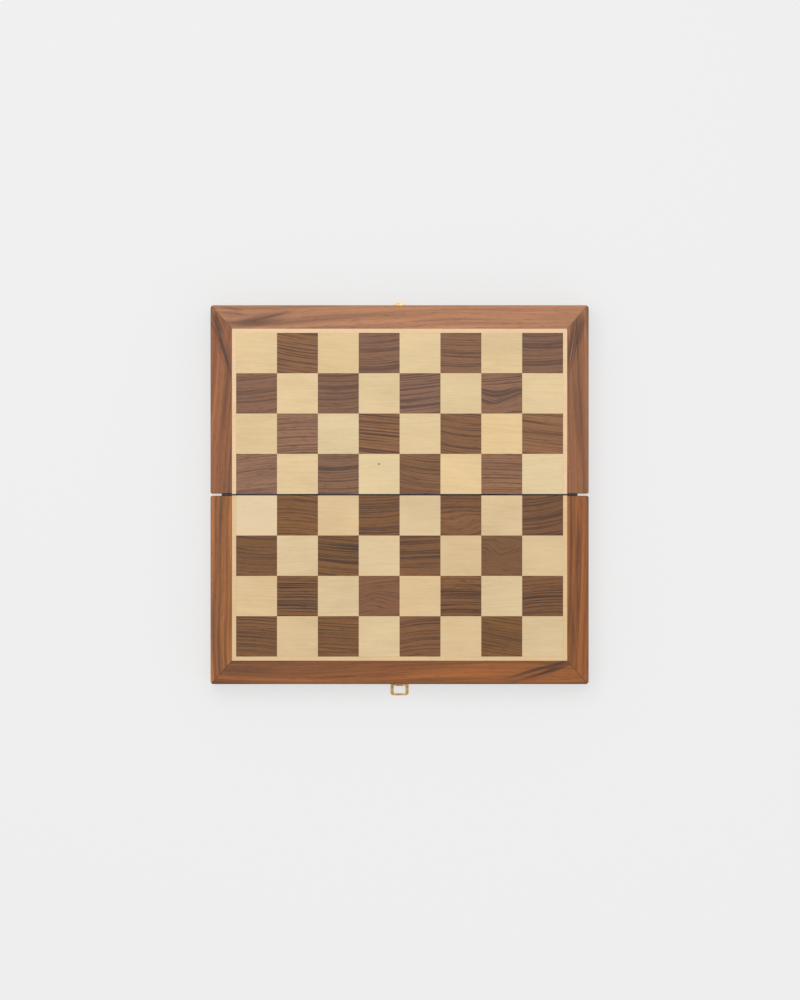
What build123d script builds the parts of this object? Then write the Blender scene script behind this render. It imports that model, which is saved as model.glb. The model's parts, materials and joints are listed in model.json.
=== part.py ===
from build123d import *
import os
from math import asin, atan2, cos, degrees, hypot, radians, sqrt

# Folding chess set, opened flat with the playing surface up. Millimetres, +Z up, X along the fold.
# It is modelled about the middle of the fold line in the plane of the rims, and shifted at the end
# so that the origin is the middle of its footprint, on the table. The rear half is +Y.

# Playing field
square_width = 41.13  # along the fold
square_depth = 40.6
files = 8
ranks_per_half = 4
saw_cut = 0.3  # taken off the two middle ranks where the board was sawn apart
stringing_width = 4.2
veneer_thickness = 0.6
glue_line = 0.04  # left between neighbouring pieces of veneer

# Box halves
side_border = 21.6  # walnut seen beside the field
end_border = 23.6  # walnut seen in front of and behind it
half_height = 28.5
wall_thickness = 11.0
seam_wall_thickness = 10.0
core_thickness = 3.4  # plywood under the veneer
lip_width = 5.0  # how far the rails lap over the core's tongue
lip_thickness = 2.3
seam_gap = 1.6
seam_rail_gap = 0.06  # the seam rails all but touch under the veneer
side_rail_setback = 0.3  # the side rails stop this much short of the sawn face
outer_corner_radius = 3.0
seam_corner_radius = 1.8
top_arris_radius = 0.8
rim_arris_radius = 0.5
fit_gap = 0.05

# Fold hinges
hinge_spacing = 190.0
leaf_length = 30.0
leaf_reach = 9.4  # from the axis to the leaf's far edge
leaf_thickness = 0.9
leaf_recess = 0.1
knuckle_count = 5
knuckle_gap = 0.15
barrel_radius = 1.5
hinge_pin_radius = 0.6
running_clearance = 0.05
barrel_clearance = 0.3
rim_gap = 0.2  # between the rims when the box is shut
screw_spacing = 18.0
screw_from_axis = 5.6
screw_head_radius = 1.9
screw_shank_radius = 1.0
screw_length = 9.0
screw_point_length = 2.0
screw_slot_width = 0.45
screw_slot_depth = 0.35

# Hasp on the front half
plate_thickness = 0.6
plate_width = 18.2
plate_height = 9.6
plate_corner_radius = 1.5
hasp_knuckle_width = 8.0
hasp_barrel_radius = 1.3
hasp_pin_radius = 0.6
hasp_axis_height = 1.6  # above the rim
hasp_axis_stand_off = 1.4  # from the wall
loop_width = 18.2
loop_bar_width = 3.1
loop_thickness = 0.9
loop_reach = 11.0
loop_end_bar = 1.8
loop_corner_radius = 3.0
loop_inner_radius = 1.2
roll_radius = 0.8
table_clearance = 0.05

# Catch on the rear half
catch_width = 12.0
catch_bottom = 2.4
catch_height = 12.6
hook_width = 6.4
hook_thickness = 0.8
hook_reach = 3.4
hook_slack = 0.3
hook_nose = 1.0  # how far the nose laps over the loop's end

# Nails through the hasp plate and the catch
nail_shank_radius = 0.55
nail_length = 7.0
nail_head_radius = 1.3
nail_head_height = 0.5
nail_spacing = 7.8
hasp_nail_height = 7.6
catch_nail_height = 12.4

# Felt and foam in the trays
felt_thickness = 1.0
cradle_thickness = 13.0
cradle_edge_radius = 1.2
officer_cradle_depth = 75.0
pawn_cradle_depth = 48.0
slot_clearance = 0.3
slot_pitch = 44.0
slot_end_margin = 7.0
pad_thickness = 0.8  # felt under each man

# Chessmen: foot radius, radius of the widest part above the foot, height
king_size = (11.0, 7.2, 62.0)
queen_size = (10.6, 7.0, 56.0)
bishop_size = (9.6, 6.4, 48.0)
knight_size = (9.6, 8.8, 43.0)
rook_size = (9.6, 6.9, 38.0)
pawn_size = (8.4, 5.8, 34.0)
foot_height = 8.0  # of the stepped foot that all the men share
knight_half_width = 4.6  # across the cheeks
knight_crest_half_width = 2.6

# Places that follow from the sizes
board_width = files * square_width + 2 * (stringing_width + side_border)
half_depth = ranks_per_half * square_depth - saw_cut + stringing_width + end_border
seam_face = seam_gap / 2
seam_rail_face = seam_rail_gap / 2
seam_rail_back = seam_rail_face + seam_wall_thickness
outer_face = seam_face + half_depth
half_width = board_width / 2
veneer_bottom = half_height - veneer_thickness
core_bottom = veneer_bottom - core_thickness
lip_bottom = half_height - lip_thickness
field_half_width = half_width - side_border
field_end = outer_face - end_border
fold_axis_z = -rim_gap / 2
hinge_xs = (-hinge_spacing / 2, hinge_spacing / 2)
table_z = fold_axis_z - barrel_radius
tray_ceiling = core_bottom - felt_thickness
cradle_face = tray_ceiling - cradle_thickness
men_axis_z = tray_ceiling - 1.0 - slot_clearance - king_size[0]
officer_foot_y = outer_face - wall_thickness - slot_end_margin
pawn_foot_y = seam_rail_back + slot_end_margin


def block(x0, x1, y0, y1, z0, z1):
    return Pos((x0 + x1) / 2, (y0 + y1) / 2, (z0 + z1) / 2) * Box(x1 - x0, y1 - y0, z1 - z0)


def rod(radius, x0, x1, y, z):
    return Pos((x0 + x1) / 2, y, z) * Rot(0, 90, 0) * Cylinder(radius, x1 - x0)


def prism(points, z0, z1):
    face = make_face(Polyline(*points, close=True))
    return Pos(0, 0, z0) * extrude(face, z1 - z0)


def turned_half(shape):
    """The same piece on the front half, which is the rear half turned about Z."""
    return Rot(0, 0, 180) * shape


# Box halves, built as the rear half

def half_frame():
    """The two side rails and the outer rail before the mitres are cut."""
    depth = half_depth - side_rail_setback
    plan = Pos(0, outer_face - depth / 2) * Rectangle(board_width, depth)
    plan = fillet(plan.vertices().group_by(Axis.Y)[-1], outer_corner_radius)
    plan = fillet(plan.vertices().group_by(Axis.Y)[0], seam_corner_radius)
    frame = extrude(plan, half_height)
    frame = fillet(frame.faces().sort_by(Axis.Z)[-1].edges(), top_arris_radius)
    frame = fillet(frame.faces().sort_by(Axis.Z)[0].edges(), rim_arris_radius)
    before_seam = seam_face - 1
    inner = half_width - wall_thickness
    frame -= block(-inner, inner, before_seam, outer_face - wall_thickness, -1, core_bottom)
    tongue = field_half_width + lip_width
    frame -= block(-tongue, tongue, before_seam, field_end + lip_width, core_bottom - 1, lip_bottom)
    frame -= block(
        -field_half_width, field_half_width, before_seam, field_end, lip_bottom - 1, half_height + 1
    )
    return frame


def mitre_wedge():
    """Holds all of the outer rail and nothing of the side rails."""
    past, inward = -0.05, 1.05  # shares of the border, along the mitre
    corners = [
        (side * (half_width - share * side_border), outer_face - share * end_border)
        for side, share in ((-1, past), (1, past), (1, inward), (-1, inward))
    ]
    return prism(corners, -1, half_height + 1)


def nail_holes(nail_z):
    holes = Part()
    for x in (-nail_spacing / 2, nail_spacing / 2):
        hole = Cylinder(
            nail_shank_radius + 0.02, nail_length + 0.2, align=(Align.CENTER, Align.CENTER, Align.MAX)
        )
        holes += Pos(x, outer_face, nail_z) * Rot(-90, 0, 0) * hole
    return holes


def rails(nail_z):
    frame = half_frame()
    wedge = mitre_wedge()
    sides = (frame - wedge).solids().sort_by(Axis.X)
    return {
        "outer": (frame & wedge) - nail_holes(nail_z),
        "left": sides[0],
        "right": sides[-1],
    }


def screw_places():
    return [
        (hinge_x + side * screw_spacing / 2, screw_from_axis)
        for hinge_x in hinge_xs
        for side in (-1, 1)
    ]


def seam_rail():
    reach = half_width - wall_thickness - fit_gap
    rail = block(-reach, reach, seam_rail_face, seam_rail_back, 0, core_bottom)
    for hinge_x in hinge_xs:
        half_leaf = leaf_length / 2 + fit_gap
        mortise_depth = leaf_recess + leaf_thickness
        rail -= block(
            hinge_x - half_leaf, hinge_x + half_leaf, 0, leaf_reach + fit_gap, -1, mortise_depth
        )
        half_barrel = leaf_length / 2 + barrel_clearance
        rail -= rod(
            barrel_radius + barrel_clearance, hinge_x - half_barrel, hinge_x + half_barrel, 0, fold_axis_z
        )
    for x, y in screw_places():
        pilot = Cylinder(
            screw_shank_radius + 0.02, screw_length + 0.4, align=(Align.CENTER, Align.CENTER, Align.MIN)
        )
        rail -= Pos(x, y, 0) * pilot
    return rail


def core():
    """Plywood with a tongue that goes under the rails' lips on three sides."""
    lower = field_half_width + lip_width - fit_gap
    upper = field_half_width - fit_gap
    return block(-lower, lower, seam_face, field_end + lip_width - fit_gap, core_bottom, lip_bottom) + block(
        -upper, upper, seam_face, field_end - fit_gap, lip_bottom, veneer_bottom
    )


def stringing():
    """Two side strips and one end strip, mitred at the corners."""
    out, inside = field_half_width - glue_line, field_half_width - stringing_width + glue_line
    end, start = field_end - glue_line, field_end - stringing_width + glue_line
    strips = [
        prism(
            [(side * out, seam_face), (side * out, end - glue_line), (side * inside, start - glue_line),
             (side * inside, seam_face)],
            veneer_bottom, half_height,
        )
        for side in (-1, 1)
    ]
    strips.append(
        prism(
            [(-out + glue_line, end), (out - glue_line, end), (inside - glue_line, start),
             (-inside + glue_line, start)],
            veneer_bottom, half_height,
        )
    )
    return strips


def squares(dark):
    """The veneer squares of one colour on the rear half; the rank next to the seam is the sawn one."""
    found = []
    for rank in range(ranks_per_half):
        y0 = seam_face + (rank * square_depth - saw_cut if rank else 0)
        y1 = seam_face + (rank + 1) * square_depth - saw_cut
        for file in range(files):
            if ((file + ranks_per_half + rank) % 2 == 0) != dark:
                continue
            x0 = (file - files / 2) * square_width
            near = y0 + (glue_line / 2 if rank else 0)
            found.append(
                block(x0 + glue_line / 2, x0 + square_width - glue_line / 2, near, y1 - glue_line / 2,
                      veneer_bottom, half_height)
            )
    return found


# Chessmen, standing on Z with the felt pad at zero

def lathe(*steps):
    """Turns an outline given as (radius, height) points; a pair of points is an arc by way of the first."""
    at, edges = (0, pad_thickness), []
    for step in steps:
        if isinstance(step[0], tuple):
            edges.append(ThreePointArc(at, step[0], step[1]))
            at = step[1]
        else:
            edges.append(Line(at, step))
            at = step
    edges.append(Line(at, (0, pad_thickness)))
    return revolve(Plane.XZ * make_face(edges), Axis.Z)


def foot_steps(foot, neck, collar_z):
    """The outline from the pad up to the collar: a rounded foot, a step and a waisted stem."""
    shoulder = foot * 0.72
    return [
        (foot - 0.4, pad_thickness),
        ((foot, 2.2), (foot - 0.5, 3.6)),
        (foot * 0.86, 4.2),
        ((foot * 0.88, 5.6), (shoulder, 6.8)),
        (shoulder * 0.86, foot_height - 0.4),
        ((neck + (shoulder - neck) * 0.16, foot_height + (collar_z - foot_height) * 0.42), (neck, collar_z)),
    ]


def collar_steps(widest, z):
    """One turned ring: sharp below and rounded above."""
    return [(widest - 0.3, z + 0.3), ((widest, z + 0.9), (widest - 0.5, z + 1.5))]


def ball_steps(radius, neck, top):
    """A ball on the axis, from where the neck meets it up to its top."""
    middle = top - radius
    return [(neck, middle - sqrt(radius**2 - neck**2)), ((radius, middle), (0, top))]


def pawn():
    foot, widest, height = pawn_size
    ball = widest - 0.8
    neck = ball * 0.55
    head = ball_steps(ball, neck, height)
    collar_z = head[0][1] - 1.8
    return lathe(*foot_steps(foot, neck, collar_z), *collar_steps(widest, collar_z), *head)


def rook():
    foot, widest, height = rook_size
    collar_z = height * 0.62
    inner = widest * 0.62
    floor_z = height - 3.2
    body = lathe(
        *foot_steps(foot, widest * 0.68, collar_z),
        *collar_steps(widest * 0.94, collar_z),
        (widest * 0.76, collar_z + 2.2),
        ((widest * 0.8, height - 7.5), (widest, height - 5.6)),
        (widest, height),
        (inner, height),
        (inner, floor_z),
        (0, floor_z),
    )
    notch_width, notch_depth = 2.2, 2.4
    for turn in (45, 135):
        body -= Rot(0, 0, turn) * Pos(0, 0, height) * Box(3 * widest, notch_width, 2 * notch_depth)
    return body


def bishop():
    foot, widest, height = bishop_size
    collar_z = height * 0.56
    mitre = widest * 0.8
    shoulder_z = collar_z + 4.2
    bead = ball_steps(1.5, 0.9, height)
    body = lathe(
        *foot_steps(foot, mitre * 0.6, collar_z),
        *collar_steps(widest, collar_z),
        *collar_steps(widest * 0.76, collar_z + 2.0),
        (mitre * 0.58, shoulder_z),
        ((mitre, shoulder_z + 4.6), (mitre * 0.62, shoulder_z + 10.4)),
        ((mitre * 0.36, bead[0][1] - 1.4), bead[0]),
        bead[1],
    )
    cut_width = 1.1
    cut = Pos(mitre * 0.75, 0, shoulder_z + 9.0) * Rot(0, -38, 0) * Box(2.2 * mitre, 3 * mitre, cut_width)
    return body - cut


def queen():
    foot, widest, height = queen_size
    collar_z = height * 0.58
    crown_z = height - 5.2
    ball = ball_steps(2.0, 1.4, height)
    body = lathe(
        *foot_steps(foot, widest * 0.48, collar_z),
        *collar_steps(widest * 0.96, collar_z),
        *collar_steps(widest * 0.78, collar_z + 2.0),
        (widest * 0.5, collar_z + 4.2),
        ((widest * 0.58, collar_z + 9.0), (widest, crown_z)),
        (widest * 0.82, crown_z + 0.9),
        (widest * 0.7, crown_z - 0.4),
        ((widest * 0.42, crown_z + 1.2), ball[0]),
        ball[1],
    )
    point_count = 8
    notch_radius = 1.25
    for n in range(point_count):
        notch = Pos(widest, 0, crown_z + 1.0) * Rot(0, 62, 0) * Cylinder(notch_radius, 3 * widest)
        body -= Rot(0, 0, n * 360 / point_count) * notch
    return body


def king():
    foot, widest, height = king_size
    collar_z = height * 0.54
    cross_height, arm, bar = 7.4, 3.0, 2.2
    crown_z = height - cross_height - 4.2
    stem_z = height - cross_height
    body = lathe(
        *foot_steps(foot, widest * 0.5, collar_z),
        *collar_steps(widest * 0.98, collar_z),
        *collar_steps(widest * 0.8, collar_z + 2.0),
        (widest * 0.52, collar_z + 4.2),
        ((widest * 0.6, collar_z + 10.0), (widest, crown_z)),
        (widest * 0.92, crown_z + 1.0),
        ((widest * 0.58, stem_z - 0.8), (1.8, stem_z - 0.2)),
        (1.8, stem_z + 0.6),
        (0, stem_z + 0.6),
    )
    upright = Pos(0, 0, stem_z - 0.4) * Box(
        bar, bar, cross_height + 0.4, align=(Align.CENTER, Align.CENTER, Align.MIN)
    )
    arms = Pos(0, 0, stem_z + cross_height * 0.62) * Box(2 * arm, bar, bar)
    return body + upright + arms


def knight():
    """A turned foot with a carved head that faces +X."""
    foot, widest, height = knight_size
    reach = widest - 0.4
    top = foot_height + 2.6
    base = lathe(
        *foot_steps(foot, foot * 0.62, foot_height + 0.6),
        (foot * 0.62, top),
        (0, top),
    )
    low, crest = top - 0.6, height
    chest, chin, nose = (reach * 0.6, low), (reach * 0.5, low + 15.4), (reach * 0.94, low + 13.8)
    brow, ear, poll = (reach * 0.3, crest - 3.6), (reach * 0.2, crest), (-reach * 0.1, crest - 2.2)
    back = (-reach * 0.62, low)
    outline = [
        Line(back, chest),
        Spline(chest, (reach * 0.46, low + 5.0), (reach * 0.02, low + 11.5), (reach * 0.1, low + 15.0), chin),
        Polyline(chin, (reach * 0.66, low + 13.4), nose),
        Spline(nose, (reach * 0.98, low + 16.4), (reach * 0.62, low + 22.0), brow),
        Polyline(brow, ear, poll),
        Spline(poll, (-reach * 0.66, crest - 7.0), (-reach * 0.86, low + 13.0), back),
    ]
    head = extrude(Plane.XZ * make_face(outline), knight_half_width, both=True)
    narrowing = [(-knight_half_width, low), (knight_half_width, low), (knight_crest_half_width, crest),
                 (-knight_crest_half_width, crest)]
    head &= extrude(Plane.YZ * make_face(Polyline(*narrowing, close=True)), 2 * reach, both=True)
    return base + head


def chessmen():
    """Maker, size and how many, in the order in which the officers lie along a tray."""
    return {
        "rook": (rook(), rook_size, 2),
        "knight": (knight(), knight_size, 2),
        "bishop": (bishop(), bishop_size, 2),
        "queen": (queen(), queen_size, 1),
        "king": (king(), king_size, 1),
        "pawn": (pawn(), pawn_size, 8),
    }


officer_order = ["rook", "knight", "bishop", "queen", "king", "bishop", "knight", "rook"]
slot_xs = [(n - (files - 1) / 2) * slot_pitch for n in range(files)]


def lying(kind, shape, x):
    """A man in its slot on the rear half: officers foot outwards, pawns foot to the seam."""
    if kind == "pawn":
        return Pos(x, pawn_foot_y, men_axis_z) * Rot(-90, 0, 0) * shape
    return Pos(x, officer_foot_y, men_axis_z) * Rot(90, 0, 0) * shape


def men_in_tray(men):
    """Every man of one army, and the felt pads under them, as they lie in the rear half."""
    found = {kind: [] for kind in men}
    pads = []
    places = [(kind, x) for kind, x in zip(officer_order, slot_xs)] + [("pawn", x) for x in slot_xs]
    for kind, x in places:
        shape, size, _ = men[kind]
        found[kind].append(lying(kind, shape, x))
        pad = Cylinder(size[0] - 0.8, pad_thickness, align=(Align.CENTER, Align.CENTER, Align.MIN))
        pads.append(lying(kind, pad, x))
    return found, pads


# Felt and foam in the rear tray

def tray_felt():
    reach = half_width - wall_thickness - fit_gap
    near = seam_rail_back + fit_gap
    return block(-reach, reach, near, outer_face - wall_thickness - fit_gap, tray_ceiling, core_bottom)


def slot(kind, size, x):
    """Room for one man: round below, straight-sided up to the cradle's face, a step behind the foot."""
    foot, head, height = (size[0] + slot_clearance, size[1] + slot_clearance, size[2] + slot_clearance)
    behind_foot = foot_height + slot_clearance
    right = [(0, -slot_clearance), (foot, -slot_clearance), (foot, behind_foot), (head, behind_foot),
             (head, height), (0, height)]
    round_part = revolve(Plane.XZ * make_face(Polyline(*right, close=True)), Axis.Z)
    left = [(-r, z) for r, z in reversed(right[1:-1])]
    outline = Plane.XZ * make_face(Polyline(*right[1:-1], *left, close=True))
    depth = men_axis_z - cradle_face + 1
    towards_opening = depth if kind == "pawn" else -depth
    return lying(kind, round_part + extrude(outline, -towards_opening), x)


def cradle(kinds, y0, y1, men):
    reach = half_width - wall_thickness - slot_clearance
    foam = block(-reach, reach, y0, y1, cradle_face, tray_ceiling)
    foam = fillet(foam.faces().sort_by(Axis.Z)[0].edges(), cradle_edge_radius)
    for kind, x in zip(kinds, slot_xs):
        foam -= slot(kind, men[kind][1], x)
    return foam


def officer_cradle(men):
    end = outer_face - wall_thickness - slot_clearance
    return cradle(officer_order, end - officer_cradle_depth, end, men)


def pawn_cradle(men):
    start = seam_rail_back + slot_clearance
    return cradle(["pawn"] * files, start, start + pawn_cradle_depth, men)


# Fold hinges

def knuckle_spans(hinge_x, first):
    """The stretches of barrel that belong to one leaf, every other knuckle from the first."""
    pitch = leaf_length / knuckle_count
    left = hinge_x - leaf_length / 2
    return [
        (left + n * pitch + knuckle_gap / 2, left + (n + 1) * pitch - knuckle_gap / 2)
        for n in range(first, knuckle_count, 2)
    ]


def hinge_leaf(hinge_x, first):
    """One leaf on the rear half, let into the rim, with its knuckles round the fold axis."""
    bore = hinge_pin_radius + running_clearance
    back, front = leaf_recess + leaf_thickness, leaf_recess
    root = bore + 0.25
    leaf = block(hinge_x - leaf_length / 2, hinge_x + leaf_length / 2, root, leaf_reach, front, back)
    for x0, x1 in knuckle_spans(hinge_x, 1 - first):
        leaf -= rod(
            barrel_radius + knuckle_gap, x0 - knuckle_gap, x1 + knuckle_gap, 0, fold_axis_z
        )
    for x0, x1 in knuckle_spans(hinge_x, first):
        leaf += rod(barrel_radius, x0, x1, 0, fold_axis_z)
    leaf -= rod(bore, hinge_x - leaf_length / 2, hinge_x + leaf_length / 2, 0, fold_axis_z)
    for side in (-1, 1):
        sink = Cone(
            screw_head_radius + fit_gap, screw_shank_radius + fit_gap, leaf_thickness,
            align=(Align.CENTER, Align.CENTER, Align.MIN),
        )
        leaf -= Pos(hinge_x + side * screw_spacing / 2, screw_from_axis, front) * sink
    return leaf


def hinge_screw(x, y):
    """A countersunk screw driven up into the rim, flush with the leaf."""
    up = (Align.CENTER, Align.CENTER, Align.MIN)
    head = Cone(screw_head_radius, screw_shank_radius, leaf_thickness, align=up)
    shank_length = screw_length - leaf_thickness - screw_point_length
    shank = Pos(0, 0, leaf_thickness) * Cylinder(screw_shank_radius, shank_length, align=up)
    point = Pos(0, 0, leaf_thickness + shank_length) * Cone(
        screw_shank_radius, 0.2, screw_point_length, align=up
    )
    slot_cut = Box(4 * screw_head_radius, screw_slot_width, 2 * screw_slot_depth)
    return Pos(x, y, leaf_recess) * (head + shank + point - slot_cut)


def hinge_pin(hinge_x):
    return rod(hinge_pin_radius, hinge_x - leaf_length / 2, hinge_x + leaf_length / 2, 0, fold_axis_z)


# Hasp and catch, built on a wall that faces +Y, then turned for the front half

def wall_plate(width, z0, z1):
    """A stamped plate flat on the outer wall, with its outer corners rounded."""
    middle = (z0 + z1) / 2
    outline = fillet(Rectangle(width, z1 - z0).vertices(), plate_corner_radius)
    return Pos(0, outer_face, middle) * Rot(-90, 0, 0) * extrude(outline, plate_thickness)


def nail(x, z):
    """A dome-headed pin driven through a plate into the rail."""
    shank = Cylinder(
        nail_shank_radius, nail_length + plate_thickness, align=(Align.CENTER, Align.CENTER, Align.MAX)
    )
    ball_radius = (nail_head_radius**2 + nail_head_height**2) / (2 * nail_head_height)
    dome = Pos(0, 0, nail_head_height - ball_radius) * Sphere(ball_radius)
    dome &= Cylinder(nail_head_radius, nail_head_height, align=(Align.CENTER, Align.CENTER, Align.MIN))
    return Pos(x, outer_face + plate_thickness, z) * Rot(-90, 0, 0) * (shank + dome)


def nails(z):
    return [nail(side * nail_spacing / 2, z) for side in (-1, 1)]


def plate_holes(z):
    holes = Part()
    for side in (-1, 1):
        hole = Cylinder(nail_shank_radius + fit_gap, 4 * plate_thickness)
        holes += Pos(side * nail_spacing / 2, outer_face, z) * Rot(90, 0, 0) * hole
    return holes


hasp_axis_y = outer_face + hasp_axis_stand_off
hasp_bore = hasp_pin_radius + running_clearance


def hasp_plate():
    above_loop = hasp_axis_height + hasp_barrel_radius + 0.2
    plate = wall_plate(plate_width, above_loop, above_loop + plate_height)
    half_knuckle = hasp_knuckle_width / 2
    plate += block(
        -half_knuckle, half_knuckle, outer_face, outer_face + plate_thickness,
        hasp_axis_height, above_loop + plate_corner_radius,
    )
    plate += rod(hasp_barrel_radius, -half_knuckle, half_knuckle, hasp_axis_y, hasp_axis_height)
    plate -= rod(hasp_bore, -half_knuckle, half_knuckle, hasp_axis_y, hasp_axis_height)
    return plate - plate_holes(hasp_nail_height)


def hasp_pin():
    return rod(hasp_pin_radius, -loop_width / 2, loop_width / 2, hasp_axis_y, hasp_axis_height)


def loop_rest_angle():
    """How far the loop hangs below level before its end meets the table."""
    drop = hasp_axis_height - table_z - table_clearance
    across = hypot(loop_reach - roll_radius / 2, loop_thickness / 2)
    return degrees(asin(drop / across) - atan2(loop_thickness / 2, loop_reach - roll_radius / 2))


def hasp_loop():
    """A stamped frame with a rolled end, hung on the pin beside the plate's knuckle."""
    half = loop_width / 2
    inner = half - loop_bar_width
    frame = Pos(0, loop_reach / 2) * Rectangle(loop_width, loop_reach)
    frame = fillet(frame.vertices().group_by(Axis.Y)[-1], loop_corner_radius)
    window_end = loop_reach - loop_end_bar
    window = Pos(0, window_end / 2) * Rectangle(2 * inner, window_end)
    window = fillet(window.vertices().group_by(Axis.Y)[-1], loop_inner_radius)
    loop = Pos(0, 0, -loop_thickness / 2) * extrude(frame - window, loop_thickness)
    loop += rod(
        roll_radius, -half + loop_corner_radius, half - loop_corner_radius,
        loop_reach - roll_radius, roll_radius - loop_thickness / 2,
    )
    for x0, x1 in ((-half, -inner), (inner, half)):
        loop += rod(hasp_barrel_radius, x0, x1, 0, 0)
    loop -= rod(hasp_bore, -half, half, 0, 0)
    return Pos(0, hasp_axis_y, hasp_axis_height) * Rot(-loop_rest_angle(), 0, 0) * loop


def catch():
    """A plate with a hook that the loop's end snaps under when the box is shut."""
    plate = wall_plate(catch_width, catch_bottom, catch_bottom + catch_height)
    loop_end = loop_reach - loop_end_bar - hasp_axis_height - rim_gap
    arm_top = loop_end - hook_slack
    half_hook = hook_width / 2
    arm = block(
        -half_hook, half_hook, outer_face, outer_face + hook_reach, arm_top - hook_thickness, arm_top
    )
    nose = block(
        -half_hook, half_hook, outer_face + hook_reach - hook_thickness / 2, outer_face + hook_reach,
        arm_top - hook_thickness, arm_top + hook_nose,
    )
    hook = arm + nose
    outer_edge = hook.edges().filter_by(Axis.X).sort_by(Axis.Z)[:2].sort_by(Axis.Y)[-1]
    hook = fillet(outer_edge, hook_thickness / 2.5)
    return plate + hook - plate_holes(catch_nail_height)


# Turning a half about Z swaps its left and its right.
rail_names = {
    "rear": {"outer": "rail_outer", "left": "rail_left", "right": "rail_right"},
    "front": {"outer": "rail_outer", "left": "rail_right", "right": "rail_left"},
}


def all_nodes():
    men = chessmen()
    nodes = {}
    for half, nail_z in (("rear", catch_nail_height), ("front", hasp_nail_height)):
        place = turned_half if half == "front" else (lambda shape: shape)
        for side, rail in rails(nail_z).items():
            nodes[f"{half}_{rail_names[half][side]}"] = [place(rail)]
        nodes[f"{half}_seam_rail"] = [place(seam_rail())]
        nodes[f"{half}_core"] = [place(core())]
        nodes[f"{half}_stringing"] = [place(strip) for strip in stringing()]
        nodes[f"{half}_dark_squares"] = [place(piece) for piece in squares(dark=True)]
        nodes[f"{half}_light_squares"] = [place(piece) for piece in squares(dark=False)]
        nodes[f"{half}_tray_felt"] = [place(tray_felt())]
        nodes[f"{half}_officer_cradle"] = [place(officer_cradle(men))]
        nodes[f"{half}_pawn_cradle"] = [place(pawn_cradle(men))]
        nodes[f"{half}_hinge_screws"] = [place(hinge_screw(x, y)) for x, y in screw_places()]
        army = "dark" if half == "rear" else "light"
        found, pads = men_in_tray(men)
        for kind, pieces in found.items():
            plural = kind if men[kind][2] == 1 else kind + "s"
            nodes[f"{army}_{plural}"] = [place(piece) for piece in pieces]
        nodes[f"{army}_men_pads"] = [place(pad) for pad in pads]
    nodes["rear_hinge_leaves"] = [hinge_leaf(x, 1) for x in hinge_xs]
    nodes["front_hinge_leaves"] = [turned_half(hinge_leaf(x, 0)) for x in hinge_xs]
    nodes["hinge_pins"] = [hinge_pin(x) for x in hinge_xs]
    nodes["hasp_plate"] = [turned_half(hasp_plate())]
    nodes["hasp_pin"] = [turned_half(hasp_pin())]
    nodes["hasp_loop"] = [turned_half(hasp_loop())]
    nodes["hasp_nails"] = [turned_half(piece) for piece in nails(hasp_nail_height)]
    nodes["catch"] = [catch()]
    nodes["catch_nails"] = nails(catch_nail_height)
    return nodes


# The footprint runs from the loop's end in front to the hook behind.
loop_end_y = -hasp_axis_y - loop_reach * cos(radians(loop_rest_angle()))
hook_end_y = outer_face + hook_reach
to_footprint = Pos(0, -(loop_end_y + hook_end_y) / 2, -table_z)


def main():
    os.makedirs("parts", exist_ok=True)
    for name, shapes in all_nodes().items():
        solids = [to_footprint * solid for shape in shapes for solid in shape.solids()]
        export_step(Compound(children=solids), f"parts/{name}.step")


main()
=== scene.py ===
import bpy
import bmesh
import json
from math import radians
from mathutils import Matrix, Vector

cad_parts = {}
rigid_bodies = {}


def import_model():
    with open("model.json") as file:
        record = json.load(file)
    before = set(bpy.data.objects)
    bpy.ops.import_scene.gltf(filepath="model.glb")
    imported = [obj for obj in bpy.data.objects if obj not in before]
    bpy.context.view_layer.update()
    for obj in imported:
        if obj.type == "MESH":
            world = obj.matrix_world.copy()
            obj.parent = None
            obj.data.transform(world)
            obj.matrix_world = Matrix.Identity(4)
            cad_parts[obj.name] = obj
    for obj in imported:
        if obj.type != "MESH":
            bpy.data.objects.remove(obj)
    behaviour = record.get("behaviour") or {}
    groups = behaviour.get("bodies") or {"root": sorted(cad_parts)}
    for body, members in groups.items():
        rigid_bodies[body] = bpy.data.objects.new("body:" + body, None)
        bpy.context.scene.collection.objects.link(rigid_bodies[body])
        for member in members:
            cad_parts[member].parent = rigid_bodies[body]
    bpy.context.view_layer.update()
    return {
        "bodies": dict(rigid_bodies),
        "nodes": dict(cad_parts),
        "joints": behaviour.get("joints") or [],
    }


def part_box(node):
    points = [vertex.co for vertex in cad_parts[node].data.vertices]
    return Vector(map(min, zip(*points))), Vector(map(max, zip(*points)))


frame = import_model()
print("frame loaded")

nodeObjects = frame["nodes"]
foldJoint = next(joint for joint in frame["joints"] if joint["name"] == "fold")
foldY = foldJoint["pos_m"][1]  # the fold line, in the frame
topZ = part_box("rear_light_squares")[1].z  # the playing surface


def setMaterial(nodeName, material):
    mesh = nodeObjects[nodeName].data
    mesh.materials.clear()
    mesh.materials.append(material)


def shade(red, green, blue):  # a colour as a screen shows it, made linear
    def linear(value):
        value /= 255
        return value / 12.92 if value <= 0.04045 else ((value + 0.055) / 1.055) ** 2.4

    return (linear(red), linear(green), linear(blue), 1.0)


# short ways to add and join shader nodes; a value may be a number or another node's socket
def plug(tree, socket, value):
    if isinstance(value, bpy.types.NodeSocket):
        tree.links.new(value, socket)
    else:
        socket.default_value = value


def addNode(tree, kind, inputs=None, **settings):
    node = tree.nodes.new(kind)
    for key, value in settings.items():
        setattr(node, key, value)
    for key, value in (inputs or {}).items():
        plug(tree, node.inputs[key], value)
    return node


def maths(tree, operation, first, second=0.0, third=0.0):
    inputs = {0: first, 1: second, 2: third}
    return addNode(tree, "ShaderNodeMath", inputs, operation=operation).outputs[0]


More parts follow.
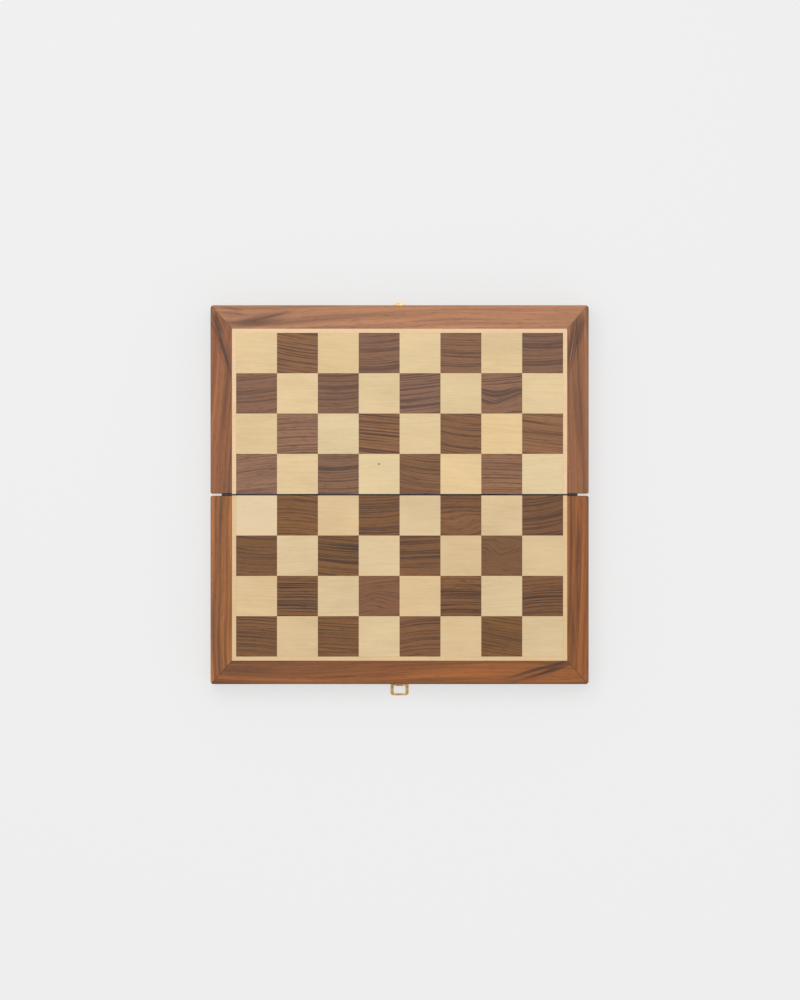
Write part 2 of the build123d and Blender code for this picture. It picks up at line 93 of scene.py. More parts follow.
def times(tree, first, second):
    return maths(tree, "MULTIPLY", first, second)


def plus(tree, first, second):
    return maths(tree, "ADD", first, second)


def minus(tree, first, second):
    return maths(tree, "SUBTRACT", first, second)


def vectorMaths(tree, operation, first, second=(0, 0, 0), output="Vector"):
    inputs = {0: first, 1: second}
    return addNode(tree, "ShaderNodeVectorMath", inputs, operation=operation).outputs[output]


def joinXYZ(tree, **parts):
    return addNode(tree, "ShaderNodeCombineXYZ", parts).outputs[0]


def splitXYZ(tree, vector):
    return addNode(tree, "ShaderNodeSeparateXYZ", {"Vector": vector}).outputs


def mapped(tree, vector, place=(0, 0, 0), turn=(0, 0, 0), size=(1, 1, 1), kind="POINT"):
    inputs = {"Vector": vector, "Location": place, "Rotation": turn, "Scale": size}
    return addNode(tree, "ShaderNodeMapping", inputs, vector_type=kind).outputs[0]


def noise(tree, vector, size, detail, roughness=0.55):
    vector = mapped(tree, vector, size=size)
    inputs = {"Vector": vector, "Scale": 1.0, "Detail": detail, "Roughness": roughness}
    return addNode(tree, "ShaderNodeTexNoise", inputs).outputs["Fac"]


def ranged(tree, value, low, high, newLow=0.0, newHigh=1.0):
    inputs = {"Value": value, "From Min": low, "From Max": high, "To Min": newLow, "To Max": newHigh}
    return addNode(tree, "ShaderNodeMapRange", inputs, interpolation_type="SMOOTHSTEP").outputs[0]


def mixColour(tree, amount, first, second):
    inputs = {0: amount, 6: first, 7: second}  # the node's sockets for colours
    return addNode(tree, "ShaderNodeMix", inputs, data_type="RGBA").outputs[2]


def ramp(tree, value, stops):
    node = addNode(tree, "ShaderNodeValToRGB", {"Fac": value})
    elements = node.color_ramp.elements
    while len(elements) < len(stops):
        elements.new(0.5)
    for element, (place, colour) in zip(elements, stops):
        element.position = place
        element.color = colour
    return node.outputs["Color"]


def oval(tree, coords, place, radii, angle=0):  # 1 at the middle of a soft oval, 0 at its rim
    spot = (place[0], place[1] + foldY, 0)
    turned = mapped(tree, coords, spot, (0, 0, radians(angle)), (*radii, 1.0), "TEXTURE")
    inputs = {"Vector": turned}
    return addNode(tree, "ShaderNodeTexGradient", inputs, gradient_type="SPHERICAL").outputs["Fac"]


def startMaterial(name, sockets):
    material = bpy.data.materials.new(name)
    material.use_nodes = True
    tree = material.node_tree
    shader = tree.nodes["Principled BSDF"]
    for key, value in sockets.items():
        shader.inputs[key].default_value = value
    coords = addNode(tree, "ShaderNodeTexCoord").outputs["Object"]
    return material, tree, shader, coords


def addBump(tree, shader, height, distance, strength=1.0):
    inputs = {"Height": height, "Distance": distance, "Strength": strength}
    plug(tree, shader.inputs["Normal"], addNode(tree, "ShaderNodeBump", inputs).outputs[0])


# woods: the grain lies along X of the vector it is given, and noise sizes are repeats in a metre
walnut = {
    "wander": ((3.0, 9.0, 9.0), 0.008),  # noise size, and how far the lines drift in metres
    "bands": (4.0, 85.0, 85.0),
    "streaks": (7.0, 760.0, 760.0),
    "fibres": (26.0, 1500.0, 1500.0),
    "pores": (90.0, 2300.0, 2300.0),
    "weights": (0.34, 0.42, 0.24),  # of the bands, streaks and fibres
    "rise": 0.04,  # share of the drift that also goes into the depth of the wood
    "line": shade(70, 40, 22),
    "lineDepth": 0.80,
    "levels": (0.84, 0.96, 1.05, 1.18),  # its tones, from dark to light, against the tint
    "lean": 0.014,  # how far the lines slant or bow across a square
    "hue": (0.008, 0.496),  # change and start of the hue over the squares, where 0.5 leaves it as it is
}
maple = {
    "wander": ((2.0, 8.0, 8.0), 0.006),
    "bands": (14.0, 34.0, 34.0),
    "streaks": (16.0, 480.0, 480.0),
    "fibres": (70.0, 1500.0, 1500.0),
    "pores": (160.0, 2600.0, 2600.0),
    "weights": (0.50, 0.18, 0.32),
    "rise": 0.2,
    "line": shade(204, 168, 118),
    "lineDepth": 0.22,
    "levels": (0.91, 0.985, 1.015, 1.05),
    "lean": 0.006,
    "hue": (-0.008, 0.504),
}
woodFinish = {
    "tonePlaces": (0.30, 0.44, 0.56, 0.72),  # where in the grain the four tones stand
    "poreRange": (0.60, 0.72),  # the higher, the fewer pores
    "streakRange": (0.3, 0.7),
    "roughnessSwing": (0.07, -0.05),  # between the streaks and on them
    "streakRelief": 0.3,  # height of a streak against the depth of a pore
    "relief": 0.00006,
    "reliefStrength": 0.6,
}
lacquer = {"Coat Weight": 0.05, "Coat Roughness": 0.3, "Specular IOR Level": 0.3}


def tones(tint, levels):  # darker and lighter versions of one colour
    colours = [shade(*(part * level for part in tint)) for level in levels]
    return list(zip(woodFinish["tonePlaces"], colours))


def grain(tree, vector, wood, pushes=()):
    size, drift = wood["wander"]
    across = times(tree, minus(tree, noise(tree, vector, size, detail=2.0), 0.5), 2 * drift)
    for amount in pushes:
        across = plus(tree, across, amount)
    offset = joinXYZ(tree, X=0.0, Y=across, Z=times(tree, across, wood["rise"]))
    vector = vectorMaths(tree, "ADD", vector, offset)
    bands = noise(tree, vector, wood["bands"], detail=3.0)
    streaks = noise(tree, vector, wood["streaks"], detail=2.0, roughness=0.45)
    fibres = noise(tree, vector, wood["fibres"], detail=2.0)
    pores = ranged(tree, noise(tree, vector, wood["pores"], detail=1.0), *woodFinish["poreRange"])
    tone = 0.0
    for part, weight in zip((bands, streaks, fibres), wood["weights"]):
        tone = maths(tree, "MULTIPLY_ADD", part, weight, tone)
    return tone, streaks, pores


def finishWood(tree, shader, colour, streaks, pores, poreShade, poreDepth, level):  # level of roughness
    colour = mixColour(tree, times(tree, pores, poreDepth), colour, poreShade)
    plug(tree, shader.inputs["Base Color"], colour)
    rougher, smoother = woodFinish["roughnessSwing"]
    roughness = ranged(tree, streaks, *woodFinish["streakRange"], level + rougher, level + smoother)
    plug(tree, shader.inputs["Roughness"], roughness)
    height = minus(tree, times(tree, streaks, woodFinish["streakRelief"]), pores)
    addBump(tree, shader, height, woodFinish["relief"], woodFinish["reliefStrength"])


# veneer squares; places are metres to the right of the board's middle and behind the fold
squareField = {
    "file": 0.0411,  # a square's size along the fold and away from it
    "rank": 0.0406,
    "jump": 3.0,  # a square is cut from anywhere in this many metres of wood
    "bow": 0.9,  # how much the lines bend, against how much they slant
    "lines": (0.46, 0.62),  # where in the streaks a dark line begins and where it is full
    "density": (0.4, 0.8),  # range and least strength of the lines, from square to square
    "poreDepth": 0.8,  # against the depth of the lines
    "roughness": 0.42,
    "figureFlat": 0.2,  # softens the top of each push
    "spotRim": 0.45,
    "figures": [  # place, radii, angle, how far the lines are pushed
        ((0.1020, -0.0600), (0.019, 0.016), 40, 0.0100),
        ((0.0940, -0.0680), (0.011, 0.009), -20, -0.0070),
        ((0.0560, -0.0330), (0.030, 0.016), -20, 0.0090),
        ((-0.0280, -0.1050), (0.032, 0.016), 20, -0.0090),
        ((0.0960, 0.0930), (0.026, 0.017), 20, 0.0075),
        ((-0.0200, 0.0200), (0.022, 0.012), -15, 0.0045),
        ((-0.1440, -0.1000), (0.024, 0.014), 10, -0.0050),
    ],
    "walnutSpots": [  # place, radii, colour, strength
        ((-0.1435, 0.1020), (0.040, 0.040), shade(142, 92, 56), 0.35),
        ((-0.0205, -0.1020), (0.042, 0.042), shade(142, 92, 56), 0.35),
        ((0.0640, -0.0300), (0.030, 0.012), shade(142, 92, 56), 0.35),
        ((0.1030, -0.0620), (0.036, 0.036), shade(118, 80, 50), 0.6),  # the square with hardly any lines
    ],
    "mapleSpots": [
        ((-0.1440, -0.0210), (0.040, 0.040), shade(235, 214, 178), 0.5),
        ((-0.0207, 0.0309), (0.0012, 0.0010), shade(90, 52, 30), 1.0),  # a pin knot
    ],
}
squareLooks = {  # spread: how far squares differ in brightness; richness: in strength of colour
    # the rear half's tints are lighter than the front half's: partly painted light, for the brighter light
    # on the far half, on top of the woods' own tones
    "rear": {
        "dark": dict(walnut, tint=(147, 102, 70), spread=0.19, richness=0.10),
        "light": dict(maple, tint=(230, 203, 155), spread=0.03, richness=0.07),
    },
    "front": {
        "dark": dict(walnut, tint=(130, 84, 41), spread=0.09, richness=0.03,
                     line=shade(56, 30, 14), lineDepth=0.86),
        "light": dict(maple, tint=(225, 197, 152), spread=0.015, richness=0.06),
    },
}


def cellNoise(tree, coords):  # three random numbers for each square, and the way along it
    shrink = (1 / squareField["file"], 1 / squareField["rank"], 0.0)
    squares = vectorMaths(tree, "MULTIPLY", mapped(tree, coords, (0, -foldY, 0)), shrink)
    inputs = {"Vector": vectorMaths(tree, "FLOOR", squares)}
    chance = addNode(tree, "ShaderNodeTexWhiteNoise", inputs, noise_dimensions="3D").outputs["Color"]
    one, two, three = addNode(tree, "ShaderNodeSeparateColor", {"Color": chance}).outputs
    alongFile = splitXYZ(tree, vectorMaths(tree, "FRACTION", squares))["X"]
    return one, two, three, minus(tree, alongFile, 0.5)


def veneerMaterial(name, look, figures, spots):
    material, tree, shader, coords = startMaterial(name, lacquer)
    one, two, three, alongFile = cellNoise(tree, coords)
    jump = squareField["jump"]
    shift = joinXYZ(tree, X=times(tree, one, jump), Y=times(tree, two, jump), Z=one)
    slant = times(tree, times(tree, minus(tree, three, 0.5), alongFile), look["lean"])
    bow = times(tree, times(tree, alongFile, alongFile), look["lean"] * squareField["bow"])
    pushes = [slant, times(tree, bow, minus(tree, two, 0.5))]
    for place, radii, angle, push in figures:
        inside = oval(tree, coords, place, radii, angle)
        hill = maths(tree, "SMOOTH_MIN", inside, 1.0, squareField["figureFlat"])
        pushes.append(times(tree, hill, push))
    tone, streaks, pores = grain(tree, vectorMaths(tree, "ADD", coords, shift), look, pushes)
    colour = ramp(tree, tone, tones(look["tint"], look["levels"]))
    density = maths(tree, "MULTIPLY_ADD", one, *squareField["density"])
    lines = times(tree, ranged(tree, streaks, *squareField["lines"]), density)
    colour = mixColour(tree, times(tree, lines, look["lineDepth"]), colour, look["line"])
    for place, radii, spotShade, strength in spots:
        amount = ranged(tree, oval(tree, coords, place, radii), 0.0, squareField["spotRim"], 0.0, strength)
        colour = mixColour(tree, amount, colour, spotShade)
    level = addNode(tree, "ShaderNodeHueSaturation", {
        "Color": colour,
        "Hue": maths(tree, "MULTIPLY_ADD", three, *look["hue"]),
        "Saturation": maths(tree, "MULTIPLY_ADD", three, 2 * look["richness"], 1 - look["richness"]),
        "Value": maths(tree, "MULTIPLY_ADD", two, 2 * look["spread"], 1 - look["spread"]),
    }).outputs[0]
    poreDepth = look["lineDepth"] * squareField["poreDepth"]
    finishWood(tree, shader, level, streaks, pores, look["line"], poreDepth, squareField["roughness"])
    return material


def dressSquares():
    for half, looks in squareLooks.items():
        setMaterial(half + "_dark_squares", veneerMaterial(
            half + "WalnutSquares", looks["dark"], squareField["figures"], squareField["walnutSpots"]))
        setMaterial(half + "_light_squares", veneerMaterial(
            half + "MapleSquares", looks["light"], (), squareField["mapleSpots"]))


# walnut border
railWood = {
    "wander": ((2.6, 11.0, 11.0), 0.016),
    "bands": (2.2, 110.0, 110.0),
    "streaks": (4.0, 420.0, 420.0),
    "fibres": (26.0, 1500.0, 1500.0),
    "pores": (90.0, 2300.0, 2300.0),
    "weights": (0.62, 0.22, 0.16),
    "rise": 0.2,
    "apart": (1.7, 0.9),  # metres of wood between one rail's cut and the next, along and across
    "changes": (-0.38, -0.08, 0.08, 0.26),  # of its four tones, before the contrast
    "ink": (0.46, 0.42, 0.42),  # the dark lines' red, green and blue, against the tint's
    "inkLines": (10.0, 380.0, 380.0),
    "inkRange": (0.36, 0.60, 0.12, 1.0),  # from this range of that noise to this range of darkness
    "bundleRim": 0.75,
    "arrisSide": (0.0, 0.25),  # how level the surface is where the arris fades in, from the side and the top
    "arrisTop": (0.99, 0.8),
    # how dark the painted shade on the arrises is
    "arrisDepth": 0.3,
    "mitreWidth": (0.0008, 0.0001),  # where the glue line has faded and where it is full
    "mitreDepth": 0.5,
    "poreDepth": 0.45,
    "roughness": 0.38,
}
railLacquer = {"Coat Weight": 0.08, "Coat Roughness": 0.25, "Specular IOR Level": 0.3}
railLooks = {  # tint, way of the grain, contrast, and bundles of dark lines: place, radii, angle, strength
    "rear": {
        # the rear outer rail's tint is lighter than the front's: partly painted light, for the brighter
        # light on the far half, on top of the wood's own tone
        "outer": {
            "tint": (176, 120, 83), "along": 1.5, "contrast": 0.9,
            "bundles": [
                ((-0.137, 0.178), (0.040, 0.0095), 12, 0.85),
                ((-0.168, 0.184), (0.022, 0.0065), -8, 0.7),
                ((0.060, 0.175), (0.070, 0.0060), -2, 0.3),
            ],
        },
        "left": {
            "tint": (142, 83, 41), "along": 86, "contrast": 1.1,
            "bundles": [
                ((-0.183, 0.172), (0.017, 0.0090), 112, 1.0),
                ((-0.177, 0.146), (0.036, 0.0062), 106, 0.9),
                ((-0.174, 0.100), (0.060, 0.0060), 84, 0.35),
            ],
        },
        "right": {
            "tint": (142, 89, 52), "along": 92, "contrast": 1.4,
            "bundles": [
                ((0.175, 0.150), (0.040, 0.0080), 82, 0.9),
                ((0.182, 0.165), (0.024, 0.0050), 76, 0.6),
                ((0.179, 0.080), (0.060, 0.0050), 96, 0.3),
            ],
        },
    },
    "front": {
        "outer": {
            "tint": (129, 74, 28), "along": -0.5, "contrast": 1.7,
            "bundles": [
                ((0.138, -0.1785), (0.046, 0.0085), 16, 1.0),
                ((0.160, -0.1720), (0.022, 0.0055), 24, 0.8),
                ((-0.040, -0.1830), (0.090, 0.0045), 3, 0.45),
                ((-0.150, -0.176), (0.040, 0.006), -4, 0.3),
            ],
        },
        "left": {
            "tint": (162, 96, 37), "along": 91, "contrast": 1.8,
            "bundles": [
                ((-0.1725, -0.088), (0.078, 0.0034), 91, 0.7),
                ((-0.183, -0.045), (0.050, 0.0036), 88, 0.5),
            ],
        },
        "right": {
            "tint": (149, 85, 31), "along": 89, "contrast": 1.4,
            "bundles": [
                ((0.1800, -0.070), (0.085, 0.0040), 89, 0.8),
                ((0.174, -0.130), (0.040, 0.0036), 93, 0.4),
            ],
        },
    },
}
seamLook = {"tint": (132, 88, 62), "along": 0, "contrast": 1.0, "bundles": []}
seamCut = 11  # well past the cuts of the six rails
# painted shade at the gap between the halves, on the seam rails and the plywood edge
seamPaintedShade = {
    "shade": shade(46, 24, 17),
    "reach": 0.0016,  # how far the painted shade reaches over the wood
    "full": 0.6,  # share of the reach without fading
    "depth": 0.0010,
}


def arrisShadeMask(tree):  # painted shade: 1 on the rounded arrises, which are darkened by how far they tilt from the flat top, 0 on the flat faces
    normal = addNode(tree, "ShaderNodeTexCoord").outputs["Normal"]
    up = maths(tree, "ABSOLUTE", splitXYZ(tree, normal)["Z"])
    return times(tree, ranged(tree, up, *railWood["arrisSide"]), ranged(tree, up, *railWood["arrisTop"]))


def mitreLine(tree, coords, half):  # 1 on the glue line from the field's corner to the board's corner
    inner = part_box(half + "_stringing")
    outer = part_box(half + "_rail_outer")
    side = 1 if half == "rear" else 0  # which end of the boxes lies away from the fold
    along = Vector((outer[1].x - inner[1].x, outer[side].y - inner[side].y, 0)).normalized()
    normal = Vector((-along.y, along.x, 0))
    offset = normal.dot(Vector((inner[1].x, inner[side].y, 0)))
    place = splitXYZ(tree, coords)
    mirrored = joinXYZ(tree, X=maths(tree, "ABSOLUTE", place["X"]), Y=place["Y"])
    away = minus(tree, vectorMaths(tree, "DOT_PRODUCT", mirrored, tuple(normal), "Value"), offset)
    return ranged(tree, maths(tree, "ABSOLUTE", away), *railWood["mitreWidth"])


def paintSeamShade(tree, coords, colour, top):  # painted shade: the wood in the gap between the halves, below the veneer, is darkened where shade falls
    place = splitXYZ(tree, coords)
    reach = seamPaintedShade["reach"]
    depth = seamPaintedShade["depth"]
    away = maths(tree, "ABSOLUTE", minus(tree, place["Y"], foldY))
    near = ranged(tree, away, reach, reach * seamPaintedShade["full"])
    high = ranged(tree, place["Z"], top - depth, top - depth / 2)
    return mixColour(tree, times(tree, near, high), colour, seamPaintedShade["shade"])


def railMaterial(name, look, cut, half):
    material, tree, shader, coords = startMaterial(name, railLacquer)
    along, across = railWood["apart"]
    vector = mapped(tree, coords, (cut * along, cut * across, 0), (0, 0, radians(-look["along"])))
    tone, streaks, pores = grain(tree, vector, railWood)
    levels = [1 + look["contrast"] * change for change in railWood["changes"]]
    colour = ramp(tree, tone, tones(look["tint"], levels))
    ink = shade(*(part * share for part, share in zip(look["tint"], railWood["ink"])))
    for place, radii, angle, strength in look["bundles"]:
        turned = mapped(tree, coords, turn=(0, 0, radians(-angle)))
        lines = ranged(tree, noise(tree, turned, railWood["inkLines"], detail=2.0), *railWood["inkRange"])
        inside = oval(tree, coords, place, radii, angle)
        amount = ranged(tree, inside, 0.0, railWood["bundleRim"], 0.0, strength)
        colour = mixColour(tree, times(tree, amount, lines), colour, ink)
    # painted shade on the rounded arrises
    colour = mixColour(tree, times(tree, arrisShadeMask(tree), railWood["arrisDepth"]), colour, ink)
    if look is seamLook:
        # painted shade in the gap between the halves
        colour = paintSeamShade(tree, coords, colour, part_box(half + "_seam_rail")[1].z)
    else:
        glue = times(tree, mitreLine(tree, coords, half), railWood["mitreDepth"])
        colour = mixColour(tree, glue, colour, ink)
    finishWood(tree, shader, colour, streaks, pores, ink, railWood["poreDepth"], railWood["roughness"])
    return material


def dressRails():
    cut = 0
    for half, looks in railLooks.items():
        for side, look in looks.items():
            nodeName = half + "_rail_" + side
            setMaterial(nodeName, railMaterial(nodeName + "Walnut", look, cut, half))
            cut += 1
    for seam, half in enumerate(railLooks):
        setMaterial(half + "_seam_rail", railMaterial(half + "_seamWalnut", seamLook, seamCut + seam, half))


# stringing, the pale strips around the squares
stripLook = {
    # the rear stringing is lighter than the front: partly painted light, for the brighter light on the far
    # half, on top of the wood's own tone
    "tints": {"rear": (240, 204, 160), "front": (228, 193, 145)},
    "bands": (30.0, 30.0, 30.0),
    "levels": (0.93, 0.99, 1.01, 1.04),
    "pores": shade(176, 130, 84),
    "poreDepth": 0.2,
    "roughness": 0.42,
}


def stripMaterial(name, tint):
    material, tree, shader, coords = startMaterial(name, lacquer)
    tone, streaks, pores = grain(tree, coords, dict(maple, bands=stripLook["bands"]))
    colour = ramp(tree, tone, tones(tint, stripLook["levels"]))
    finishWood(tree, shader, colour, streaks, pores,
               stripLook["pores"], stripLook["poreDepth"], stripLook["roughness"])
    return material


# plywood, thin layers whose grain turns from one to the next
plyLook = {
    "sockets": {"Roughness": 0.75},
    "twoLayers": 0.0023,  # their thickness
    "change": (0.44, 0.56),  # where one layer gives way to the other
    "fibre": (60.0, 700.0, 900.0),
    "fibreDepth": 0.4,
    "relief": 0.0001,
    "long": shade(186, 148, 104),
    "cross": shade(150, 110, 72),
    "pale": shade(214, 180, 136),
}


def plyMaterial():
    material, tree, shader, coords = startMaterial("plywoodCore", plyLook["sockets"])
    layer = maths(tree, "FRACT", times(tree, splitXYZ(tree, coords)["Z"], 1 / plyLook["twoLayers"]))
    fibre = noise(tree, coords, plyLook["fibre"], detail=3.0)
    colour = mixColour(tree, ranged(tree, layer, *plyLook["change"]), plyLook["long"], plyLook["cross"])
    colour = mixColour(tree, times(tree, fibre, plyLook["fibreDepth"]), colour, plyLook["pale"])
    # painted shade in the gap between the halves, on the plywood's edge
    colour = paintSeamShade(tree, coords, colour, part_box("rear_core")[0].z)
    plug(tree, shader.inputs["Base Color"], colour)
    addBump(tree, shader, fibre, plyLook["relief"])
    return material


# felt and flocked foam in the trays
feltLook = {
    "sockets": {"Roughness": 0.96, "Sheen Weight": 0.35, "Sheen Roughness": 0.5, "Specular IOR Level": 0.15},
    "tones": [(0.34, shade(16, 44, 28)), (0.52, shade(28, 66, 42)), (0.72, shade(64, 104, 76))],
    "feltPile": 900.0,
    "flockPile": 1500.0,
    "fuzz": 3400.0,
    "patches": 22.0,
    "weights": (0.5, 0.3, 0.2),  # of the pile, the fuzz and the patches
    "relief": 0.0003,
    "fuzzRelief": 0.5,  # against the pile's
}


def feltMaterial(name, pile):
    material, tree, shader, coords = startMaterial(name, feltLook["sockets"])
    clumps = noise(tree, coords, (pile,) * 3, detail=4.0, roughness=0.7)
    fuzz = noise(tree, coords, (feltLook["fuzz"],) * 3, detail=2.0, roughness=0.6)
    patches = noise(tree, coords, (feltLook["patches"],) * 3, detail=2.0)
    tone = 0.0
    for part, weight in zip((clumps, fuzz, patches), feltLook["weights"]):
        tone = maths(tree, "MULTIPLY_ADD", part, weight, tone)
    plug(tree, shader.inputs["Base Color"], ramp(tree, tone, feltLook["tones"]))
    addBump(tree, shader, plus(tree, clumps, times(tree, fuzz, feltLook["fuzzRelief"])), feltLook["relief"])
    return material


# chessmen
menLooks = {
    "light": {
        "tones": [(0.32, shade(196, 156, 104)), (0.48, shade(222, 188, 138)), (0.70, shade(236, 209, 165))],
        "pores": shade(150, 108, 66),
    },
    "dark": {
        "tones": [(0.32, shade(44, 24, 15)), (0.48, shade(74, 44, 29)), (0.70, shade(104, 66, 45))],
        "pores": shade(22, 11, 7),
    },
}
menPolish = {
    "sockets": {"Coat Weight": 0.45, "Coat Roughness": 0.16},
    "turn": (0, 0, radians(-90)),  # the grain runs along the men as they lie
    "poreDepth": 0.3,
    "roughness": 0.34,
}


def menMaterial(army):
    material, tree, shader, coords = startMaterial(army + "Men", menPolish["sockets"])
    tone, streaks, pores = grain(tree, mapped(tree, coords, turn=menPolish["turn"]), maple)
    colour = ramp(tree, tone, menLooks[army]["tones"])
    finishWood(tree, shader, colour, streaks, pores,
               menLooks[army]["pores"], menPolish["poreDepth"], menPolish["roughness"])
    return material


# brass of the hinges, hasp and catch
brassLook = {
    "sockets": {"Metallic": 1.0},
    "bright": shade(232, 196, 134),
    "warm": shade(202, 154, 92),
    "tarnish": shade(122, 86, 44),
    "clouds": (260.0, 260.0, 260.0),
    "cloudRange": (0.35, 0.65),
    "stains": (900.0, 900.0, 900.0),
    "stainRange": (0.56, 0.74),
    "stainDepth": 0.45,
    "stainRoughness": 0.2,
    "scratches": (300.0, 6000.0, 6000.0),
    "scratchTurn": (0.3, 0.2, 0.9),
    "scratchRange": (0.3, 0.7),
    "roughness": (0.20, 0.40),
    "relief": 0.00002,
}


def brassMaterial():
    look = brassLook
    material, tree, shader, coords = startMaterial("wornBrass", look["sockets"])
    cloud = ranged(tree, noise(tree, coords, look["clouds"], detail=3.0), *look["cloudRange"])
    stains = noise(tree, coords, look["stains"], detail=4.0, roughness=0.7)
    stains = ranged(tree, stains, *look["stainRange"])
    scratches = noise(tree, mapped(tree, coords, turn=look["scratchTurn"]), look["scratches"], detail=2.0)
    colour = mixColour(tree, cloud, look["bright"], look["warm"])
    colour = mixColour(tree, times(tree, stains, look["stainDepth"]), colour, look["tarnish"])
    plug(tree, shader.inputs["Base Color"], colour)
    worn = ranged(tree, scratches, *look["scratchRange"], *look["roughness"])
    plug(tree, shader.inputs["Roughness"], plus(tree, worn, times(tree, stains, look["stainRoughness"])))
    addBump(tree, shader, scratches, look["relief"])
    return material


# drawn steel pins
steelLook = {
    "sockets": {"Metallic": 1.0},
    "bright": shade(188, 180, 160),
    "dull": shade(150, 140, 118),
    "rings": (4000.0, 200.0, 200.0),
    "ringRange": (0.2, 0.8),
    "roughness": (0.22, 0.42),
}


def steelMaterial():
    material, tree, shader, coords = startMaterial("drawnPin", steelLook["sockets"])
    rings = noise(tree, coords, steelLook["rings"], detail=2.0)
    plug(tree, shader.inputs["Base Color"], mixColour(tree, rings, steelLook["bright"], steelLook["dull"]))
    roughness = ranged(tree, rings, *steelLook["ringRange"], *steelLook["roughness"])
    plug(tree, shader.inputs["Roughness"], roughness)
    return material


dressSquares()
print("squares dressed")
dressRails()
ply = plyMaterial()
for half, tint in stripLook["tints"].items():
    setMaterial(half + "_stringing", stripMaterial(half + "Stringing", tint))
    setMaterial(half + "_core", ply)
print("rails and stringing dressed")

felt = feltMaterial("trayFelt", feltLook["feltPile"])
flock = feltMaterial("flockedFoam", feltLook["flockPile"])
armies = {"front": "light", "rear": "dark"}
for half, army in armies.items():
    setMaterial(half + "_tray_felt", felt)
    setMaterial(half + "_officer_cradle", flock)
    setMaterial(half + "_pawn_cradle", flock)
    setMaterial(army + "_men_pads", felt)
    wood = menMaterial(army)
    for kind in ("king", "queen", "bishops", "knights", "rooks", "pawns"):
        setMaterial(army + "_" + kind, wood)
print("trays and men dressed")

brass = brassMaterial()
steel = steelMaterial()
for nodeName in ("front_hinge_leaves", "rear_hinge_leaves", "front_hinge_screws", "rear_hinge_screws",
                 "hasp_plate", "hasp_loop", "hasp_nails", "catch", "catch_nails"):
    setMaterial(nodeName, brass)
for nodeName in ("hinge_pins", "hasp_pin"):
    setMaterial(nodeName, steel)
print("metal dressed")


# floor, light and camera
studio = {
    "floorSize": 80.0,
    "floorDrop": 0.0002,  # just under the feet of the board
    "floorSockets": {"Roughness": 0.9, "Specular IOR Level": 0.0},
    "floorShade": shade(241, 241, 241),
    "mottleShade": shade(232, 232, 232),
    "mottle": (5.0, 5.0, 5.0),
    "mottleDepth": 0.01,
    "backdropShare": 0.7,  # how much of the floor is seen as plain backdrop
    "feet": (0.188, 0.002),  # how far behind the fold the points lie that push the floor down
    "worldShade": (1.0, 1.0, 1.0, 1.0),
    "worldLevel": 0.62,
    "lights": {
        "keyLight": {"place": (-0.35, 0.65, 2.3), "size": 2.0, "power": 22.0},
        "fillLight": {"place": (1.3, -1.1, 0.9), "size": 1.0, "power": 2.0},
    },
}
photoFrame = {
    "width": 800, "height": 1000,
    "foldMiddle": (399.6, 494.7),  # in pixels
    "metresPerPixel": 0.0010066,
    "lens": 240.0,
    "sensor": 36.0,
    "farthest": 200.0,
}


def floorMaterial():  # part lit surface, part plain backdrop as the camera sees it
    material, tree, shader, coords = startMaterial("paleFloor", studio["floorSockets"])
    mottle = times(tree, noise(tree, coords, studio["mottle"], detail=2.0), studio["mottleDepth"])
    colour = mixColour(tree, mottle, studio["floorShade"], studio["mottleShade"])
    plug(tree, shader.inputs["Base Color"], colour)
    rays = addNode(tree, "ShaderNodeLightPath").outputs
    seen = maths(tree, "MAXIMUM", rays["Is Camera Ray"], rays["Is Glossy Ray"])
    seen = maths(tree, "MAXIMUM", seen, rays["Is Transmission Ray"])
    plain = addNode(tree, "ShaderNodeEmission", {"Color": studio["floorShade"], "Strength": 1.0})
    share = times(tree, seen, studio["backdropShare"])
    both = addNode(tree, "ShaderNodeMixShader", {0: share, 1: shader.outputs[0], 2: plain.outputs[0]})
    plug(tree, tree.nodes["Material Output"].inputs["Surface"], both.outputs[0])
    return material


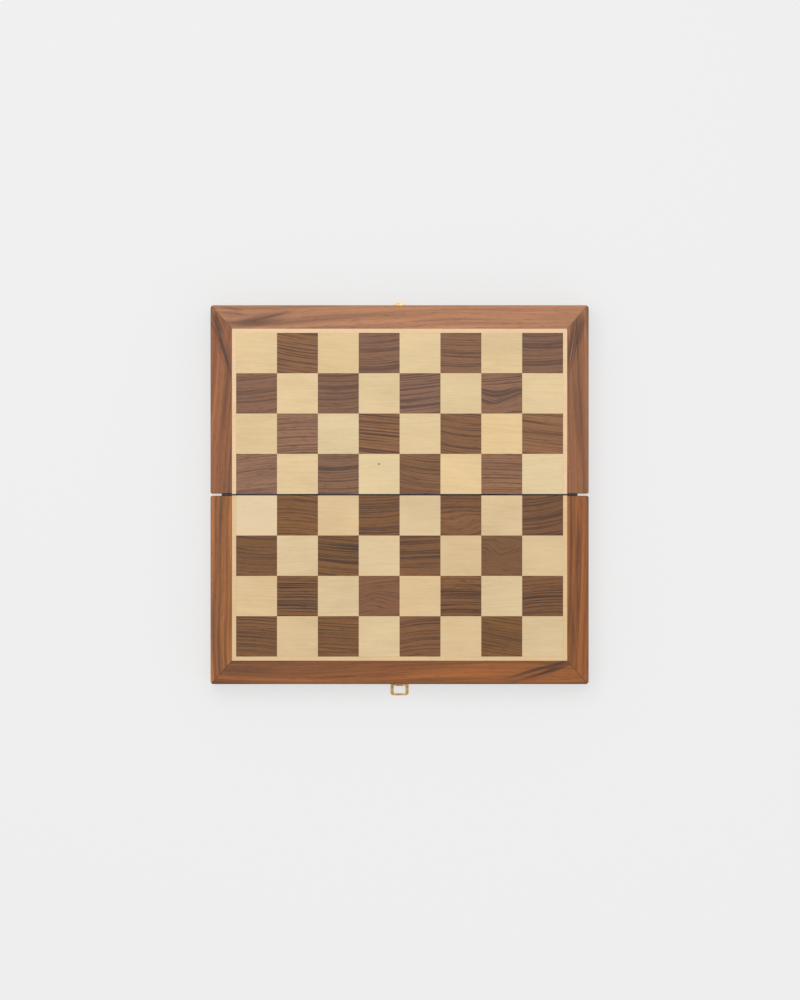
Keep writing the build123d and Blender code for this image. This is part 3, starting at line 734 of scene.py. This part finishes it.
def makeFloor():
    mesh = bpy.data.meshes.new("floor")
    shape = bmesh.new()
    bmesh.ops.create_grid(shape, x_segments=1, y_segments=1, size=studio["floorSize"] / 2)
    shape.to_mesh(mesh)
    shape.free()
    mesh.materials.append(floorMaterial())
    floor = bpy.data.objects.new("floor", mesh)
    bpy.context.scene.collection.objects.link(floor)
    floor.location.z = -studio["floorDrop"]
    return floor


def lowerWith(floor, body, place):  # the floor gives way to what folds down under the table's plane
    marker = bpy.data.objects.new(body + "Foot", None)
    bpy.context.scene.collection.objects.link(marker)
    marker.parent = frame["bodies"][body]
    marker.location = place
    limit = floor.constraints.new("FLOOR")
    limit.target = marker
    limit.floor_location = "FLOOR_NEGATIVE_Z"
    limit.offset = 0.0


def makeLight(name, place, size, power):
    light = bpy.data.lights.new(name, "AREA")
    light.shape = "DISK"
    light.size = size
    light.energy = power
    lamp = bpy.data.objects.new(name, light)
    bpy.context.scene.collection.objects.link(lamp)
    lamp.location = place
    lamp.rotation_euler = (-Vector(place)).to_track_quat("-Z", "Y").to_euler()  # aimed at the board


def makeWorld():
    world = bpy.data.worlds.new("softRoom")
    bpy.context.scene.world = world
    world.use_nodes = True
    background = world.node_tree.nodes["Background"]
    background.inputs["Color"].default_value = studio["worldShade"]
    background.inputs["Strength"].default_value = studio["worldLevel"]


def makeCamera():  # straight above the board, as in the photo
    camera = bpy.data.cameras.new("camera")
    camera.lens = photoFrame["lens"]
    camera.sensor_width = photoFrame["sensor"]
    camera.clip_end = photoFrame["farthest"]
    holder = bpy.data.objects.new("camera", camera)
    bpy.context.scene.collection.objects.link(holder)
    step = photoFrame["metresPerPixel"]
    distance = photoFrame["height"] * step * photoFrame["lens"] / photoFrame["sensor"]
    right = (photoFrame["width"] / 2 - photoFrame["foldMiddle"][0]) * step
    down = (photoFrame["height"] / 2 - photoFrame["foldMiddle"][1]) * step
    holder.location = (right, foldY - down, topZ + distance)
    bpy.context.scene.camera = holder


floor = makeFloor()
for behind in studio["feet"]:
    lowerWith(floor, "rear_half", (0.0, foldY + behind, topZ))
for name, light in studio["lights"].items():
    makeLight(name, **light)
makeWorld()
makeCamera()
bpy.context.scene.view_settings.view_transform = "Standard"
print("studio ready")
